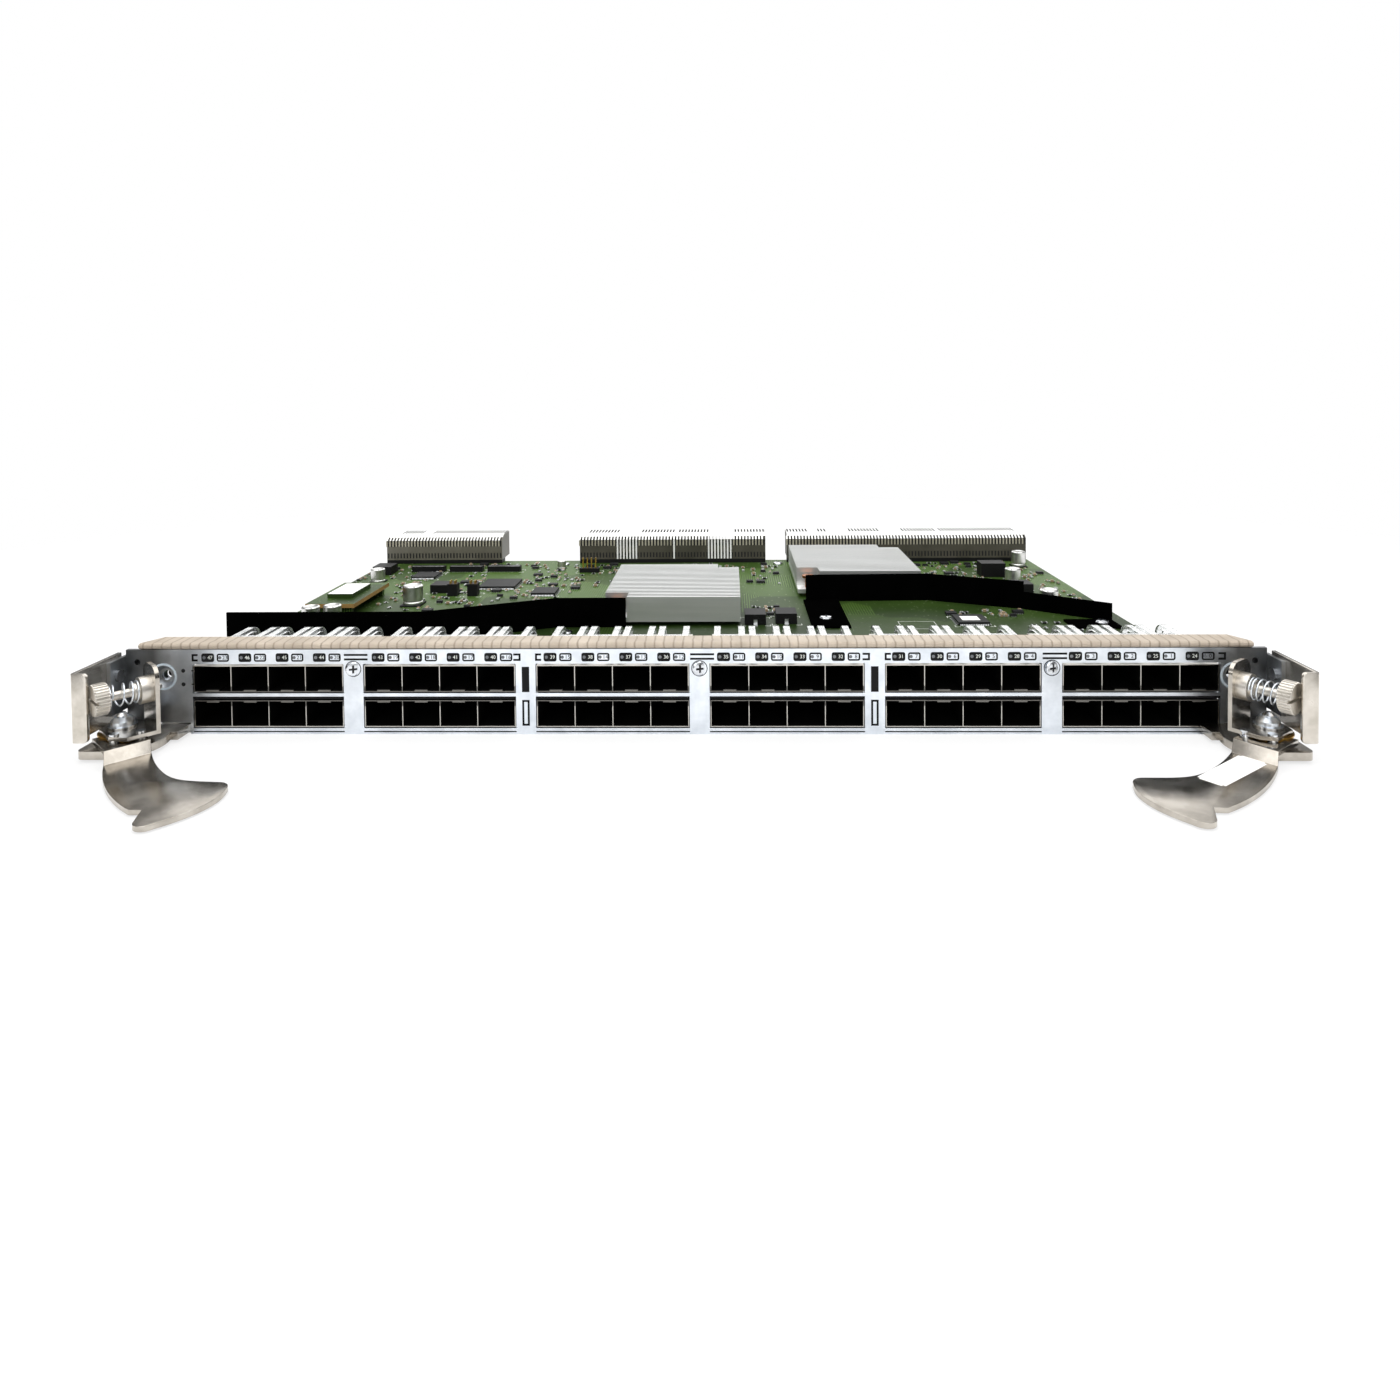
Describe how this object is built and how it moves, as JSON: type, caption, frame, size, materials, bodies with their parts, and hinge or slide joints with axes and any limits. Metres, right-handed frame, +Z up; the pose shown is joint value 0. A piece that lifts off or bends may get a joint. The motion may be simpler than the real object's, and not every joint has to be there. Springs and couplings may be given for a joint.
{
  "type": "switch line card",
  "caption": "Long switch line card: narrow panel with two rows of square ports, ejector lever and thumbscrew at each end, green board with two finned heat sinks, tray and rear connectors.",
  "frame": {"origin": "middle of the front panel face, at the level of the surface the card lies on", "axes": "+X along the panel, +Y from the panel to the rear, +Z up from the tray through the board"},
  "size_m": [0.4348, 0.3393, 0.0347],
  "materials": {
    "zinc_panel": "satin, zinc plated",
    "tray_steel": "satin",
    "latch_steel": "satin, nickel plated",
    "screw_steel": "bright",
    "cage_metal": "satin",
    "black_plastic": "matte",
    "white_plastic": "matte",
    "connector_plastic": "matte",
    "clear_plastic": "translucent",
    "board_green": "solder mask, semi gloss",
    "gasket_fabric": "metallised fabric over foam",
    "sink_metal": "satin, machined",
    "copper": "satin, copper coloured",
    "brass": "satin",
    "aluminium": "satin"
  },
  "bodies": {
    "card": {"air_baffle_left": "black_plastic", "air_baffle_right": "black_plastic", "backplane_connector_left": "connector_plastic", "backplane_connector_middle": "connector_plastic", "backplane_connector_right": "connector_plastic", "board_headers": "white_plastic", "board_screws": "screw_steel", "board_standoffs": "screw_steel", "capacitors": "aluminium", "carrier_tray": "tray_steel", "circuit_board": "board_green", "connector_bases": "black_plastic", "control_chips": "black_plastic", "emi_gasket": "gasket_fabric", "front_panel": "zinc_panel", "guard_left": "latch_steel", "guard_right": "latch_steel", "guard_rivets": "screw_steel", "heat_sink_left": "sink_metal", "heat_sink_pins": "copper", "heat_sink_right": "sink_metal", "host_connectors_lower": "black_plastic", "host_connectors_upper": "black_plastic", "latch_base_left": "latch_steel", "latch_base_right": "latch_steel", "latch_base_screws": "screw_steel", "light_pipes": "clear_plastic", "lock_nuts": "screw_steel", "panel_screw_blocks": "screw_steel", "panel_screws": "screw_steel", "pivot_nuts": "screw_steel", "pivot_studs": "screw_steel", "pivot_washers": "screw_steel", "port_cages_1": "cage_metal", "port_cages_2": "cage_metal", "port_cages_3": "cage_metal", "port_cages_4": "cage_metal", "port_cages_5": "cage_metal", "port_cages_6": "cage_metal", "power_module": "board_green", "power_parts": "black_plastic", "switch_chips": "black_plastic"},
    "left_lever": {"lever_left": "latch_steel", "screw_bracket_left": "latch_steel", "lever_rivets_left": "screw_steel", "brass_washer_left": "brass", "ferrule_left": "screw_steel", "thumbscrew_spring_left": "screw_steel"},
    "left_screw_seat": {"seat_washer_left": "screw_steel"},
    "left_thumbscrew": {"thumbscrew_left": "screw_steel"},
    "right_lever": {"lever_right": "latch_steel", "screw_bracket_right": "latch_steel", "lever_rivets_right": "screw_steel", "brass_washer_right": "brass", "ferrule_right": "screw_steel", "thumbscrew_spring_right": "screw_steel"},
    "right_screw_seat": {"seat_washer_right": "screw_steel"},
    "right_thumbscrew": {"thumbscrew_right": "screw_steel"}
  },
  "joints": [
    {"name": "left_lever_swing", "type": "hinge", "parent": "card", "child": "left_lever", "pos_m": [-0.2065, -0.0135, 0.00458], "axis": [0, 0, 1], "range_deg": [0, 42]},
    {"name": "left_thumbscrew_push", "type": "slide", "parent": "left_lever", "child": "left_screw_seat", "axis": [0.6691, 0.7431, 0], "range_m": [0, 0.006], "stiffness_N_per_m": 250, "springref_m": -0.004, "deforming": ["thumbscrew_spring_left"]},
    {"name": "left_thumbscrew_turn", "type": "hinge", "parent": "left_screw_seat", "child": "left_thumbscrew", "pos_m": [-0.20115, -0.01832, 0.022], "axis": [0.6691, 0.7431, 0], "continuous": true},
    {"name": "right_lever_swing", "type": "hinge", "parent": "card", "child": "right_lever", "pos_m": [0.2065, -0.0135, 0.00458], "axis": [0, 0, 1], "range_deg": [-37.6, 4.4]},
    {"name": "right_thumbscrew_push", "type": "slide", "parent": "right_lever", "child": "right_screw_seat", "axis": [-0.6101, 0.7923, 0], "range_m": [0, 0.006], "stiffness_N_per_m": 250, "springref_m": -0.004, "deforming": ["thumbscrew_spring_right"]},
    {"name": "right_thumbscrew_turn", "type": "hinge", "parent": "right_screw_seat", "child": "right_thumbscrew", "pos_m": [0.2027, -0.01643, 0.022], "axis": [-0.6101, 0.7923, 0], "continuous": true}
  ]
}
